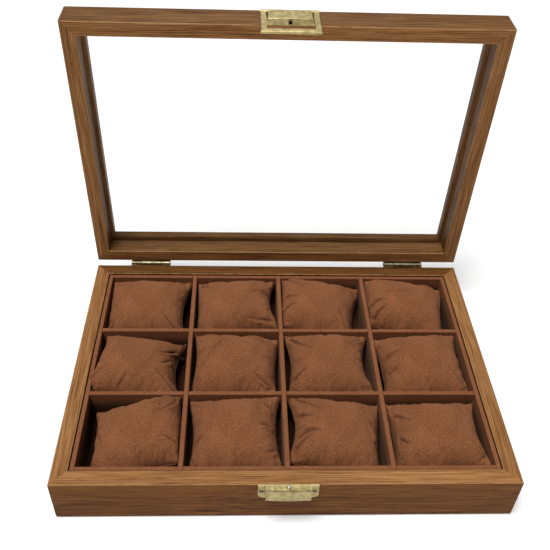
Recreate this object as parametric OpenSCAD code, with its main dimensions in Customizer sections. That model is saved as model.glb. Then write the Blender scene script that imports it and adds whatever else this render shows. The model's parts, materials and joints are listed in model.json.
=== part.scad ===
// Watch box: a wooden case with a glass lid, open on its stop hinges.
// Twelve loose cushions sit in a divided, suede-covered tray.
// Millimetres. The origin is the middle of the underside, front towards -Y, up is +Z.
// The lid is drawn closed and then turned open about the hinge pins.

/* [Box] */
// Outside width of base and lid
box_w = 300; // [250:1:380]
// Outside depth of base and lid
box_d = 208.6; // [170:0.2:280]
// Height of the base from table to rim
base_h = 37; // [33:0.5:48]
// Thickness of the base walls
wall_t = 10.5; // [9:0.1:13]
// Thickness of the bottom board
panel_t = 3; // [2:0.1:4]
// Width of the step in the walls that takes the bottom board
rebate_w = 4; // [3:0.1:5]
// Thickness of the cloth pad under the box
pad_t = 0.8; // [0.5:0.1:1.5]
// How far the cloth pad stays inside the outside faces
pad_inset = 1.5; // [1:0.1:4]
// Small chamfer on the edges of the wood
edge_cut = 0.5; // [0.3:0.1:0.8]

/* [Lid] */
// Height of the lid
lid_h = 23; // [22:0.5:30]
// Width of the lid rails where they meet the base
rail_w = 10.3; // [9:0.1:13]
// Height of the glass above the lower face of the lid
glass_up = 13.6; // [10:0.1:15]
// Thickness of the glass
glass_t = 2.5; // [2:0.1:3]
// Depth of the groove that holds the glass
groove_d = 3.5; // [2.5:0.1:4]
// How far the upper lip covers the glass inside the rails
lip_w = 2.4; // [1.5:0.1:5]
// Gap between lid and rim when the box is shut
lid_gap = 0.2; // [0.1:0.05:0.4]
// How far the lid opens before the hinges stop it, in degrees
open_angle = 88; // [80:1:100]

/* [Tray] */
// Thickness of the suede-covered tray floor
floor_t = 2.8; // [2:0.1:4]
// Thickness of the four liner boards
liner_t = 3; // [2.5:0.1:4]
// Gap between the liner boards and the walls
liner_gap = 0.7; // [0.2:0.1:0.9]
// How far the tray stays below the rim
tray_drop = 1; // [0.5:0.1:3]
// Thickness of the dividers
divider_t = 3.2; // [2.5:0.1:4]
// Depth of the end tabs of the long dividers
tab_h = 12; // [8:0.5:16]
// How far the cloth rounds the upper edges of the boards
cloth_round = 0.5; // [0.3:0.1:0.8]

/* [Cushions] */
// Width of a cushion from ear to ear
cushion_w = 57; // [50:0.5:57]
// Depth of a cushion from ear to ear
cushion_d = 50; // [44:0.5:50]
// Thickness of a cushion in the middle
cushion_h = 34; // [24:0.5:35]
// Thickness of a cushion at its ears
ear_h = 8; // [5:0.5:10]
// Radius of the cushion ears in plan
ear_r = 3; // [2:0.5:5]
// How far the long sides pull in between the ears
side_pull = 2; // [1:0.1:3]

/* [Hinges] */
// Length of a hinge along its pin
hinge_len = 32; // [28:0.5:40]
// Distance from the end of the box to the middle of a hinge
hinge_inset = 43.6; // [35:0.1:60]
// Distance of the pin behind the rear face
pin_back = 2.7; // [2.5:0.1:3.2]
// Radius of the knuckles
knuckle_r = 2; // [1.8:0.1:2.2]
// Length of the middle knuckle
knuckle_mid = 15.6; // [12:0.1:18]
// Radius of the hinge pin
hinge_pin_r = 1; // [0.8:0.05:1.1]
// Thickness of the hinge leaves
leaf_t = 0.9; // [0.7:0.1:1.2]
// Height of a leaf, measured from the pin
leaf_h = 15; // [13:0.5:18]
// Distance between the two screws of a leaf
leaf_screws = 18; // [14:0.5:22]

/* [Latch] */
// Width of the bowed catch body
catch_w = 29; // [26:0.5:32]
// Height of the bowed catch body
catch_h = 11.5; // [10:0.1:13]
// How far the catch body stands out in the middle
catch_out = 5.1; // [4.8:0.1:6]
// How much less it stands out at its two ends
catch_bow = 0.5; // [0.3:0.1:0.8]
// Width of an ear of the latch plates
ear_w = 4.8; // [4.4:0.1:5.5]
// Thickness of the latch plates
plate_t = 1.3; // [1.2:0.05:1.4]
// Width of the bars of the latch ring
ring_bar = 3.9; // [3.4:0.1:4.6]
// Thickness of the latch ring
ring_t = 2; // [1.6:0.1:2.2]
// Height of the latch ring's pin above the joint
ring_pin_up = 13.6; // [13.2:0.1:15]
// Radius of the latch ring's pin
ring_pin_r = 0.9; // [0.7:0.05:1]
// Radius of the locating stud
stud_r = 1; // [0.8:0.1:1.2]
// Height of the locating stud above the catch
stud_up = 2.4; // [2:0.1:2.8]

/* [Fits] */
// Clearance of sliding and seated pieces
fit = 0.1; // [0.05:0.05:0.2]
// Radial clearance of a pin in its hole
pin_fit = 0.05; // [0.02:0.01:0.1]
// Clearance under and around a cushion
soft_gap = 0.4; // [0.3:0.1:0.6]
// Gap left at the mitres
mitre_gap = 0.03; // [0.02:0.01:0.1]
// Gap between the hinge ridges when the lid is fully open
stop_gap = 0.06; // [0.04:0.01:0.1]

/* [Hidden] */
x_out = box_w / 2;
y_out = box_d / 2;
joint_z = base_h + lid_gap / 2;
lid_low = base_h + lid_gap;
lid_top = lid_low + lid_h;
glass_low = lid_low + glass_up;
groove_h = glass_t + 2 * fit;
panel_low = pad_t;
panel_up = panel_low + panel_t;
floor_low = panel_up + fit;
floor_up = floor_low + floor_t;
tray_up = base_h - tray_drop;
board_low = floor_up + fit;
// Half width and half depth of the tray outside and inside the liner boards
tray_x = x_out - wall_t - liner_gap;
tray_y = y_out - wall_t - liner_gap;
in_x = tray_x - liner_t;
in_y = tray_y - liner_t;
// Pitch of the cells
cols = 4;
rows = 3;
pitch_x = (2 * in_x + divider_t) / cols;
pitch_y = (2 * in_y + divider_t) / rows;
// Height where the two sets of dividers are halved into each other
halving_z = (board_low + tray_up) / 2;
// Hinge
hinge_x = x_out - hinge_inset;
hinge_y = y_out + pin_back;
knuckle_gap = 0.3;
knuckle_end = (hinge_len - knuckle_mid) / 2 - knuckle_gap;
ridge_z = knuckle_r + 0.6;
ridge_t = 1;
// Reach of the ridges past the pin: they meet when the lid is fully open
ridge_base = ridge_z / tan(open_angle / 2) - stop_gap;
ridge_lid = ridge_z + 0.8;
leaf_start = knuckle_r + 0.3;
leaf_screw_z = (ridge_z + ridge_t + leaf_h) / 2;
// Latch
latch_x = catch_w / 2 + ear_w;
plate_h = catch_h + 1.3;
bow_r = catch_w * catch_w / (8 * catch_bow) + catch_bow / 2;
ring_mid = 2.7;
ring_low = catch_h + 0.7;
ring_gap = 1.2;
ring_in = catch_w / 2 + ring_gap;
ring_out = ring_in + ring_bar;
eye_r = 1.9;
barrel_half = ring_in - 0.4;
lid_ear_h = ring_pin_up - eye_r - 1;
latch_screw_x = catch_w / 2 + ear_w / 2 + 0.1;
latch_screw_z = 6;
slot_w = 2 * stud_r + 0.5;
skin_t = 0.7;
// Screws
head_r = 1.7;
head_h = 0.9;
shank_r = 0.9;
hinge_screw_len = 8;
latch_screw_len = 7;
// How each cushion lies: [turn, right side down, rear side up] in degrees
lie_rear = [[0, 0, 0], [2, -1, 0], [-5, 4, 0], [-5, 4, 0]];
lie_middle = [[-2, 2, -4], [-3, 1, 0], [0, 0, 0], [3, -2, 0]];
lie_front = [[6, -5, 0], [2, -2, 0], [-4, 3, 0], [2, -1, 0]];
// Turned cylinders are drawn round
$fn = 96;

// ---- places ----

// Turns what is drawn on the shut lid to the open position
module opened() {
    translate([0, hinge_y, joint_z])
    rotate([-open_angle, 0, 0])
    translate([0, -hinge_y, -joint_z])
    children();
}

// At a hinge: x along the pin, y away from the rear face, z up from the pin
module at_hinge(side) {
    translate([side * hinge_x, y_out, joint_z])
    children();
}

// At the latch: y away from the front face, z up from the joint
module at_latch() {
    translate([0, -y_out, joint_z])
    mirror([0, 1, 0])
    children();
}

// A bar with its section drawn as [inwards, up], laid along X
module bar(len) {
    rotate([90, 0, 90])
    linear_extrude(height = len, center = true)
    children();
}

// A cylinder along X between two places
module rod(x0, x1, r) {
    translate([x0, 0, 0])
    rotate([0, 90, 0])
    cylinder(h = x1 - x0, r = r);
}

// ---- wood ----

// One mitred rail on the front side, from its section
module mitred_rail(len, half, width) {
    cut = len / 2 - mitre_gap;
    translate([0, -half, 0])
    intersection() {
        bar(len)
        children();
        linear_extrude(height = lid_top + 1)
        polygon([[-cut, 0], [cut, 0], [cut - width, width], [width - cut, width]]);
    }
}

// Section of a base wall, stepped for the bottom board
module wall_section() {
    e = edge_cut;
    step_up = panel_up + fit / 2;
    polygon([
        [e, panel_low], [0, panel_low + e], [0, base_h - e], [e, base_h],
        [wall_t - e, base_h], [wall_t, base_h - e],
        [wall_t, step_up], [wall_t - rebate_w, step_up], [wall_t - rebate_w, panel_low]
    ]);
}

// Section of a lid rail, grooved for the glass under an upper lip
module rail_section() {
    e = edge_cut;
    lip = rail_w + lip_w;
    groove_up = glass_low - fit + groove_h;
    polygon([
        [e, lid_low], [0, lid_low + e], [0, lid_top - e], [e, lid_top],
        [lip - e, lid_top], [lip, lid_top - e], [lip, groove_up],
        [rail_w - groove_d, groove_up], [rail_w - groove_d, glass_low - fit],
        [rail_w, glass_low - fit], [rail_w, lid_low + e], [rail_w - e, lid_low]
    ]);
}

module front_wall() {
    mitred_rail(box_w, y_out, wall_t)
    wall_section();
}

module side_wall() {
    rotate([0, 0, -90])
    mitred_rail(box_d, x_out, wall_t)
    wall_section();
}

module front_rail() {
    mitred_rail(box_w, y_out, rail_w + lip_w)
    rail_section();
}

module side_rail() {
    rotate([0, 0, -90])
    mitred_rail(box_d, x_out, rail_w + lip_w)
    rail_section();
}

module base_front_wall() {
    color("saddlebrown")
    difference() {
        front_wall();
        at_latch()
        for (side = [-1, 1])
        latch_pilot(side * latch_screw_x, -latch_screw_z);
    }
}

module base_rear_wall() {
    color("saddlebrown")
    difference() {
        mirror([0, 1, 0])
        front_wall();
        for (side = [-1, 1])
        at_hinge(side)
        leaf_pilots(-leaf_screw_z);
    }
}

module base_left_wall() {
    color("saddlebrown")
    side_wall();
}

module base_right_wall() {
    color("saddlebrown")
    mirror([1, 0, 0])
    side_wall();
}

module lid_front_rail() {
    color("saddlebrown")
    opened()
    difference() {
        front_rail();
        at_latch()
        for (side = [-1, 1])
        latch_pilot(side * latch_screw_x, latch_screw_z);
    }
}

module lid_rear_rail() {
    color("saddlebrown")
    opened()
    difference() {
        mirror([0, 1, 0])
        front_rail();
        for (side = [-1, 1])
        at_hinge(side)
        leaf_pilots(leaf_screw_z);
    }
}

module lid_left_rail() {
    color("saddlebrown")
    opened()
    side_rail();
}

module lid_right_rail() {
    color("saddlebrown")
    opened()
    mirror([1, 0, 0])
    side_rail();
}

module slab(half_x, half_y, low, up) {
    translate([-half_x, -half_y, low])
    cube([2 * half_x, 2 * half_y, up - low]);
}

module base_panel() {
    reach = wall_t - rebate_w + fit;
    color("peru")
    slab(x_out - reach, y_out - reach, panel_low, panel_up);
}

module base_pad() {
    color("black")
    slab(x_out - pad_inset, y_out - pad_inset, 0, pad_t);
}

module glass_pane() {
    reach = rail_w - groove_d + 3 * fit;
    color("lightcyan", 0.4)
    opened()
    slab(x_out - reach, y_out - reach, glass_low, glass_low + glass_t);
}

// ---- tray ----

module tray_floor() {
    color("sienna")
    slab(tray_x, tray_y, floor_low, floor_up);
}

// A cloth-covered board along X, rounded off along its upper edges
module board(len, thick, low) {
    r = cloth_round;
    bar(len)
    polygon([
        [0, low], [0, tray_up - r], [r * 0.3, tray_up - r * 0.3], [r, tray_up],
        [thick - r, tray_up], [thick - r * 0.3, tray_up - r * 0.3],
        [thick, tray_up - r], [thick, low]
    ]);
}

// The long liner boards have slots in their upper edge for the divider tabs
module liner_long() {
    color("sienna")
    difference() {
        translate([0, -tray_y, 0])
        board(2 * (in_x - fit), liner_t, board_low);
        for (i = [1 : cols - 1])
        translate([divider_x(i) - divider_t / 2 - fit, -tray_y - 1, tray_up - tab_h - fit])
        cube([divider_t + 2 * fit, liner_t + 2, tab_h + 1]);
    }
}

module liner_front() {
    liner_long();
}

module liner_rear() {
    mirror([0, 1, 0])
    liner_long();
}

module liner_left() {
    color("sienna")
    translate([-tray_x, 0, 0])
    rotate([0, 0, -90])
    board(2 * tray_y, liner_t, board_low);
}

module liner_right() {
    mirror([1, 0, 0])
    liner_left();
}

function divider_x(i) = -in_x - divider_t / 2 + i * pitch_x;
function divider_y(j) = -in_y - divider_t / 2 + j * pitch_y;

// A row divider, notched from above where the long dividers cross it
module row_divider(j) {
    color("sienna")
    difference() {
        translate([0, divider_y(j) - divider_t / 2, 0])
        board(2 * (in_x - fit), divider_t, board_low);
        for (i = [1 : cols - 1])
        translate([divider_x(i) - divider_t / 2 - fit, divider_y(j) - divider_t, halving_z])
        cube([divider_t + 2 * fit, 2 * divider_t, tray_up]);
    }
}

// A column divider, notched from below, with a tab at each end
module column_divider(i) {
    color("sienna")
    translate([divider_x(i) - divider_t / 2, 0, 0])
    difference() {
        rotate([0, 0, -90])
        union() {
            board(2 * (in_y - fit), divider_t, board_low);
            board(2 * tray_y, divider_t, tray_up - tab_h);
        }
        for (j = [1 : rows - 1])
        translate([-1, divider_y(j) - divider_t / 2 - fit, 0])
        cube([divider_t + 2, divider_t + 2 * fit, halving_z + fit]);
    }
}

module row_divider_rear() {
    row_divider(2);
}

module row_divider_front() {
    row_divider(1);
}

module column_divider_left() {
    column_divider(1);
}

module column_divider_middle() {
    column_divider(2);
}

module column_divider_right() {
    column_divider(3);
}

// ---- cushions ----

// Radius of the crown that falls from the middle thickness to the ears
ear_reach = norm([cushion_w / 2 - ear_r, cushion_d / 2 - ear_r]) + ear_r;
crown_fall = (cushion_h - ear_h) / 2;
crown_r = (ear_reach * ear_reach + crown_fall * crown_fall) / (2 * crown_fall);
crown_down = crown_r - cushion_h / 2;

// Radius of the arc that pulls in a side of the given length
function pull_r(len) = (len * len / (4 * side_pull) + side_pull) / 2;

// Plan of a cushion: round ears and sides pulled in between them
module cushion_plan() {
    ear_step = 0.6;
    ex = cushion_w / 2 - ear_r;
    ey = cushion_d / 2 - ear_r;
    rx = pull_r(cushion_w);
    ry = pull_r(cushion_d);
    for (sx = [-1, 1])
    for (sy = [-1, 1])
    translate([sx * ex, sy * ey])
    circle(r = ear_r);
    difference() {
        union() {
            square([2 * ex, cushion_d - 2 * ear_step], center = true);
            square([cushion_w - 2 * ear_step, 2 * ey], center = true);
        }
        for (s = [-1, 1])
        translate([0, s * (cushion_d / 2 - ear_step - side_pull + rx)])
        circle(r = rx, $fn = 360);
        for (s = [-1, 1])
        translate([s * (cushion_w / 2 - ear_step - side_pull + ry), 0])
        circle(r = ry, $fn = 360);
    }
}

// Half section of the two crowns: one arc above, one below
module crown_section() {
    intersection() {
        translate([0, -cushion_h / 2])
        square([ear_reach + 1, cushion_h]);
        translate([0, -crown_down])
        circle(r = crown_r, $fn = 360);
        translate([0, crown_down])
        circle(r = crown_r, $fn = 360);
    }
}

// A cushion crowned on both faces
module cushion_body() {
    intersection() {
        linear_extrude(height = cushion_h + 1, center = true)
        cushion_plan();
        rotate_extrude()
        crown_section();
    }
}

// A cushion in its cell, counted from the left and from the front
module cushion(col, row, lie) {
    tip = norm([lie[1], lie[2]]);
    sink = crown_down * (1 - cos(tip));
    color("chocolate")
    translate([divider_x(col) - pitch_x / 2, divider_y(row) - pitch_y / 2, 0])
    translate([0, 0, floor_up + soft_gap + cushion_h / 2 + sink])
    rotate([0, 0, lie[0]])
    rotate([lie[2], lie[1], 0])
    cushion_body();
}

module cushion_rear_1() {
    cushion(1, 3, lie_rear[0]);
}

module cushion_rear_2() {
    cushion(2, 3, lie_rear[1]);
}

module cushion_rear_3() {
    cushion(3, 3, lie_rear[2]);
}

module cushion_rear_4() {
    cushion(4, 3, lie_rear[3]);
}

module cushion_middle_1() {
    cushion(1, 2, lie_middle[0]);
}

module cushion_middle_2() {
    cushion(2, 2, lie_middle[1]);
}

module cushion_middle_3() {
    cushion(3, 2, lie_middle[2]);
}

module cushion_middle_4() {
    cushion(4, 2, lie_middle[3]);
}

module cushion_front_1() {
    cushion(1, 1, lie_front[0]);
}

module cushion_front_2() {
    cushion(2, 1, lie_front[1]);
}

module cushion_front_3() {
    cushion(3, 1, lie_front[2]);
}

module cushion_front_4() {
    cushion(4, 1, lie_front[3]);
}

// ---- screws ----

// A countersunk wood screw with a crossed recess: head up, its top at z = 0
module wood_screw(len) {
    tip_h = 1.5;
    tip_r = 0.2;
    difference() {
        union() {
            translate([0, 0, -head_h])
            cylinder(h = head_h, r1 = shank_r, r2 = head_r);
            translate([0, 0, tip_h - len])
            cylinder(h = len - tip_h - head_h, r = shank_r);
            translate([0, 0, -len])
            cylinder(h = tip_h, r1 = tip_r, r2 = shank_r);
        }
        for (turn = [0, 90])
        rotate([0, 0, turn])
        cube([1.8, 0.4, 0.8], center = true);
    }
}

// The seat of a screw in a metal plate
module screw_seat() {
    translate([0, 0, -head_h])
    cylinder(h = head_h, r1 = shank_r + fit, r2 = head_r + fit);
    translate([0, 0, -head_h - 2])
    cylinder(h = 2.5, r = shank_r + fit);
    cylinder(h = 1, r = head_r + fit);
}

// The pilot hole of a screw in the wood
module screw_pilot(len) {
    translate([0, 0, -len - 0.3])
    cylinder(h = len + 1, r = shank_r + pin_fit);
}

// Lays a screw along y: its head at the given distance from the wood
module driven(x, out, z) {
    translate([x, out, z])
    rotate([-90, 0, 0])
    children();
}

module leaf_pilots(z) {
    for (s = [-1, 1])
    driven(s * leaf_screws / 2, leaf_t, z)
    screw_pilot(hinge_screw_len);
}

module latch_pilot(x, z) {
    driven(x, plate_t, z)
    screw_pilot(latch_screw_len);
}

module leaf_screw_pair(z) {
    for (s = [-1, 1])
    driven(s * leaf_screws / 2, leaf_t, z)
    wood_screw(hinge_screw_len);
}

module hinge_base_screws() {
    color("goldenrod")
    for (side = [-1, 1])
    at_hinge(side)
    leaf_screw_pair(-leaf_screw_z);
}

module hinge_lid_screws() {
    color("goldenrod")
    opened()
    for (side = [-1, 1])
    at_hinge(side)
    leaf_screw_pair(leaf_screw_z);
}

// ---- hinges ----

// One rolled knuckle and the web that joins it to its leaf; up is -1 or 1
module knuckle(x0, x1, up) {
    web_t = leaf_t + 0.5;
    web_low = up > 0 ? 0 : -leaf_start;
    translate([0, pin_back, 0])
    rod(x0, x1, knuckle_r);
    translate([x0, 0, web_low])
    cube([x1 - x0, web_t, leaf_start]);
}

// The plate of a leaf with the raised ridge that stops the lid
module leaf_plate(reach) {
    translate([-hinge_len / 2, 0, leaf_start])
    cube([hinge_len, leaf_t, leaf_h - leaf_start]);
    translate([-hinge_len / 2, 0, ridge_z])
    cube([hinge_len, pin_back + reach, ridge_t]);
}

// What is drilled out of a leaf
module leaf_holes(z) {
    translate([0, pin_back, 0])
    rod(-hinge_len, hinge_len, hinge_pin_r + pin_fit);
    for (s = [-1, 1])
    driven(s * leaf_screws / 2, leaf_t, z)
    screw_seat();
}

module base_leaf(side) {
    half = hinge_len / 2;
    color("darkgoldenrod")
    at_hinge(side)
    difference() {
        union() {
            mirror([0, 0, 1])
            leaf_plate(ridge_base);
            knuckle(-half, knuckle_end - half, -1);
            knuckle(half - knuckle_end, half, -1);
        }
        leaf_holes(-leaf_screw_z);
    }
}

module lid_leaf(side) {
    color("darkgoldenrod")
    opened()
    at_hinge(side)
    difference() {
        union() {
            leaf_plate(ridge_lid);
            knuckle(-knuckle_mid / 2, knuckle_mid / 2, 1);
        }
        leaf_holes(leaf_screw_z);
    }
}

module hinge_pin(side) {
    color("goldenrod")
    at_hinge(side)
    translate([0, pin_back, 0])
    rod(-hinge_len / 2, hinge_len / 2, hinge_pin_r);
}

module hinge_left_base_leaf() {
    base_leaf(-1);
}

module hinge_left_lid_leaf() {
    lid_leaf(-1);
}

module hinge_left_pin() {
    hinge_pin(-1);
}

module hinge_right_base_leaf() {
    base_leaf(1);
}

module hinge_right_lid_leaf() {
    lid_leaf(1);
}

module hinge_right_pin() {
    hinge_pin(1);
}

// ---- latch ----

// The bowed block of the catch, chamfered along its front edges
module bowed_block(low, up) {
    c = 0.3;
    back = bow_r - 8;
    intersection() {
        translate([-catch_w / 2, 0, low])
        cube([catch_w, catch_out + 1, up - low]);
        translate([0, catch_out - bow_r, 0])
        rotate_extrude($fn = 720)
        polygon([
            [back, low], [bow_r - c, low], [bow_r, low + c],
            [bow_r, up - c], [bow_r - c, up], [back, up]
        ]);
    }
}

// A latch plate below the joint, its two lower corners rounded
module eared_plate(height) {
    r = 3.2;
    translate([0, plate_t, 0])
    rotate([90, 0, 0])
    linear_extrude(height = plate_t)
    union() {
        translate([-latch_x, r - height])
        square([2 * latch_x, height - r - lid_gap / 2]);
        translate([r - latch_x, -height])
        square([2 * (latch_x - r), height - lid_gap]);
        for (s = [-1, 1])
        translate([s * (latch_x - r), r - height])
        circle(r = r);
    }
}

module latch_seats(z) {
    for (s = [-1, 1])
    driven(s * latch_screw_x, plate_t, z)
    screw_seat();
}

module latch_catch() {
    sunk_r = stud_r + 0.6;
    color("darkgoldenrod")
    at_latch()
    difference() {
        union() {
            bowed_block(-catch_h, -lid_gap / 2);
            eared_plate(plate_h);
        }
        latch_seats(-latch_screw_z);
        translate([0, ring_mid, -6])
        cylinder(h = 7, r = stud_r + pin_fit);
        translate([0, ring_mid, -0.5])
        cylinder(h = 1, r = sunk_r);
    }
}

// The stud pressed into the catch, with a domed top
module catch_stud() {
    color("silver")
    at_latch()
    translate([0, ring_mid, 0])
    union() {
        translate([0, 0, -5.9])
        cylinder(h = 5.9 + stud_up - stud_r, r = stud_r);
        translate([0, 0, stud_up - stud_r])
        sphere(r = stud_r);
    }
}

module catch_screws() {
    color("silver")
    at_latch()
    for (s = [-1, 1])
    driven(s * latch_screw_x, plate_t, -latch_screw_z)
    wood_screw(latch_screw_len);
}

module latch_plate() {
    body_up = ring_pin_up - 1.4;
    slot_h = stud_up + 1.2;
    color("darkgoldenrod")
    opened()
    at_latch()
    difference() {
        union() {
            bowed_block(lid_gap / 2, body_up);
            mirror([0, 0, 1])
            eared_plate(lid_ear_h);
            translate([-catch_w / 2, 0, lid_gap])
            cube([catch_w, plate_t, ring_pin_up - lid_gap]);
            translate([0, ring_mid, ring_pin_up])
            rod(-barrel_half, barrel_half, eye_r);
        }
        latch_seats(latch_screw_z);
        translate([0, ring_mid, ring_pin_up])
        rod(-latch_x, latch_x, ring_pin_r + pin_fit);
        translate([-slot_w / 2, skin_t, -1])
        cube([slot_w, catch_out - 2 * skin_t, slot_h + 1]);
    }
}

module latch_plate_screws() {
    color("goldenrod")
    opened()
    at_latch()
    for (s = [-1, 1])
    driven(s * latch_screw_x, plate_t, latch_screw_z)
    wood_screw(latch_screw_len);
}

// The ring: a bevelled frame, open at the top where its two eyes ride on the pin
module latch_ring() {
    back = ring_mid - ring_t / 2;
    face = ring_mid + ring_t / 2;
    low = -ring_low - ring_bar;
    c = 0.5;
    color("darkgoldenrod")
    opened()
    at_latch()
    difference() {
        union() {
            difference() {
                intersection() {
                    bar(2 * ring_out)
                    polygon([
                        [back, low], [face - c, low], [face, low + c],
                        [face, ring_pin_up], [back, ring_pin_up]
                    ]);
                    translate([0, 0, low - 1])
                    linear_extrude(height = ring_pin_up - low + 2)
                    polygon([
                        [-ring_out, back], [ring_out, back], [ring_out, face - c],
                        [ring_out - c, face], [c - ring_out, face], [-ring_out, face - c]
                    ]);
                }
                translate([-ring_in, -1, -ring_low])
                cube([2 * ring_in, catch_out + 3, ring_low + ring_pin_up + 1]);
            }
            translate([0, ring_mid, ring_pin_up])
            rod(-ring_out, -ring_in, eye_r);
            translate([0, ring_mid, ring_pin_up])
            rod(ring_in, ring_out, eye_r);
        }
        translate([0, ring_mid, ring_pin_up])
        rod(-ring_out - 1, ring_out + 1, ring_pin_r + pin_fit);
    }
}

module latch_ring_pin() {
    color("goldenrod")
    opened()
    at_latch()
    translate([0, ring_mid, ring_pin_up])
    rod(-ring_out, ring_out, ring_pin_r);
}

base_front_wall();
base_rear_wall();
base_left_wall();
base_right_wall();
base_panel();
base_pad();
tray_floor();
liner_front();
liner_rear();
liner_left();
liner_right();
row_divider_rear();
row_divider_front();
column_divider_left();
column_divider_middle();
column_divider_right();
cushion_rear_1();
cushion_rear_2();
cushion_rear_3();
cushion_rear_4();
cushion_middle_1();
cushion_middle_2();
cushion_middle_3();
cushion_middle_4();
cushion_front_1();
cushion_front_2();
cushion_front_3();
cushion_front_4();
lid_front_rail();
lid_rear_rail();
lid_left_rail();
lid_right_rail();
glass_pane();
hinge_left_base_leaf();
hinge_left_lid_leaf();
hinge_left_pin();
hinge_right_base_leaf();
hinge_right_lid_leaf();
hinge_right_pin();
hinge_base_screws();
hinge_lid_screws();
latch_catch();
catch_stud();
catch_screws();
latch_plate();
latch_plate_screws();
latch_ring();
latch_ring_pin();
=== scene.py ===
# %% [markdown]
# # A watch box with a glass lid and twelve loose cushions
#
# The box is wood-grain board with a suede tray. Its lid is a glass pane in a
# frame, and stands open on two stop hinges. The rigid parts arrive as exact
# solids, already in place. This lesson gives them their finishes, makes the
# soft cushions, and lights the whole as a small studio set.

# %% Load the frame
import json
import math
import random

import bpy
import numpy as np
from mathutils import Matrix, Vector, noise

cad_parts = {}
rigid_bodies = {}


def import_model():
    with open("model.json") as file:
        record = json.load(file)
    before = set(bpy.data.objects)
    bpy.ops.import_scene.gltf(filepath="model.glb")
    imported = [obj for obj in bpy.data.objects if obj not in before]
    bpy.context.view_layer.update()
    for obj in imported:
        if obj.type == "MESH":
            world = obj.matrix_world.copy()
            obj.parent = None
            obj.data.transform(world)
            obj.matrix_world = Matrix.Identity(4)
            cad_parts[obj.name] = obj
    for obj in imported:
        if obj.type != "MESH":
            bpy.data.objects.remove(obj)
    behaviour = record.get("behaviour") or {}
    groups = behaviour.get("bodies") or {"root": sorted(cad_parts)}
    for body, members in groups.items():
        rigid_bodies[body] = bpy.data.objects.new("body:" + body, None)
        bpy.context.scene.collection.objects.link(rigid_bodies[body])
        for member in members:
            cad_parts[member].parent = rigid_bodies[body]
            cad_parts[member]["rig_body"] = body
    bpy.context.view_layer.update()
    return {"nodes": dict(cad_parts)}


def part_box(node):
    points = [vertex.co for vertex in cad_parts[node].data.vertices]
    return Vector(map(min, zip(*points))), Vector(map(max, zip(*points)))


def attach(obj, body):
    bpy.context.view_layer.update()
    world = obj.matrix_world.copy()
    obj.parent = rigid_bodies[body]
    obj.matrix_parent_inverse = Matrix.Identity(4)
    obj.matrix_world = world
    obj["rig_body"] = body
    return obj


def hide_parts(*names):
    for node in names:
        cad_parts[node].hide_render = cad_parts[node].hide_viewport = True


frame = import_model()
scene = bpy.context.scene
MM = 0.001


# %% [markdown]
# ## The camera
#
# The box is seen from the front and well above, by someone standing over a
# table. A camera could be aimed with a constraint, but then its roll is hard
# to hold. Here its three axes are worked out and written into its matrix: the
# view direction from a turn and a dip, and then a small roll about it.

# %% Camera
EYE = Vector((-0.0309, -0.3613, 0.4415))
TURN, DIP, ROLL = (math.radians(a) for a in (3.073, 40.62, 2.418))
SENSOR, FOCAL_LENGTH = 36.0, 47.935
SHIFT_X, SHIFT_Y = 0.0074, -0.0238

ahead = Vector((
    math.sin(TURN) * math.cos(DIP),
    math.cos(TURN) * math.cos(DIP),
    -math.sin(DIP),
))
level = Vector((math.cos(TURN), -math.sin(TURN), 0))
upright = level.cross(ahead)
right = level * math.cos(ROLL) + upright * math.sin(ROLL)
up = upright * math.cos(ROLL) - level * math.sin(ROLL)

camera_data = bpy.data.cameras.new("camera")
camera_data.sensor_width = SENSOR
camera_data.lens = FOCAL_LENGTH
camera_data.shift_x = SHIFT_X
camera_data.shift_y = SHIFT_Y
camera_data.clip_start = 0.01
camera = bpy.data.objects.new("camera", camera_data)
scene.collection.objects.link(camera)
axes = Matrix((right, up, -ahead)).transposed()
camera.matrix_world = Matrix.Translation(EYE) @ axes.to_4x4()
scene.camera = camera
print("camera looks down by", round(math.degrees(DIP), 1), "degrees")


# %% [markdown]
# ## Floor and light
#
# A plain pale floor and one wide soft light overhead, a little to the left and
# in front, give even light with soft shadows: what faces up is bright, and the
# sides fall off. A weaker light behind gives the metal something to mirror.
# Both are suns, because a sun lights the floor as strongly far off as near.
# The world is pale at the horizon, like a paper backdrop, and dim above, so it
# fills the shadows only a little.

# %% Floor and lights
def link_mesh(name, verts, faces, smooth=False):
    mesh = bpy.data.meshes.new(name)
    mesh.from_pydata([tuple(v) for v in verts], [], faces)
    mesh.polygons.foreach_set("use_smooth", [smooth] * len(mesh.polygons))
    mesh.update()
    obj = bpy.data.objects.new(name, mesh)
    scene.collection.objects.link(obj)
    return obj


FLOOR_HALF = 6.0
FLOOR_GAP = 0.2 * MM
floor_corners = [
    (x * FLOOR_HALF, y * FLOOR_HALF, -FLOOR_GAP)
    for x, y in ((-1, -1), (1, -1), (1, 1), (-1, 1))
]
floor = link_mesh("floor", floor_corners, [(0, 1, 2, 3)])


def soft_sun(name, come_from, spread, strength):
    """A wide soft light; spread is how wide it looks from the floor, in degrees."""
    sun = bpy.data.lights.new(name, "SUN")
    sun.angle = math.radians(spread)
    sun.energy = strength
    obj = bpy.data.objects.new(name, sun)
    obj.rotation_euler = (-Vector(come_from)).to_track_quat("-Z", "Y").to_euler()
    scene.collection.objects.link(obj)


soft_sun("lamp_overhead", come_from=(-0.45, -0.45, 2.3), spread=30, strength=3.45)
soft_sun("lamp_behind", come_from=(0.0, 2.1, 2.2), spread=40, strength=0.9)

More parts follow.
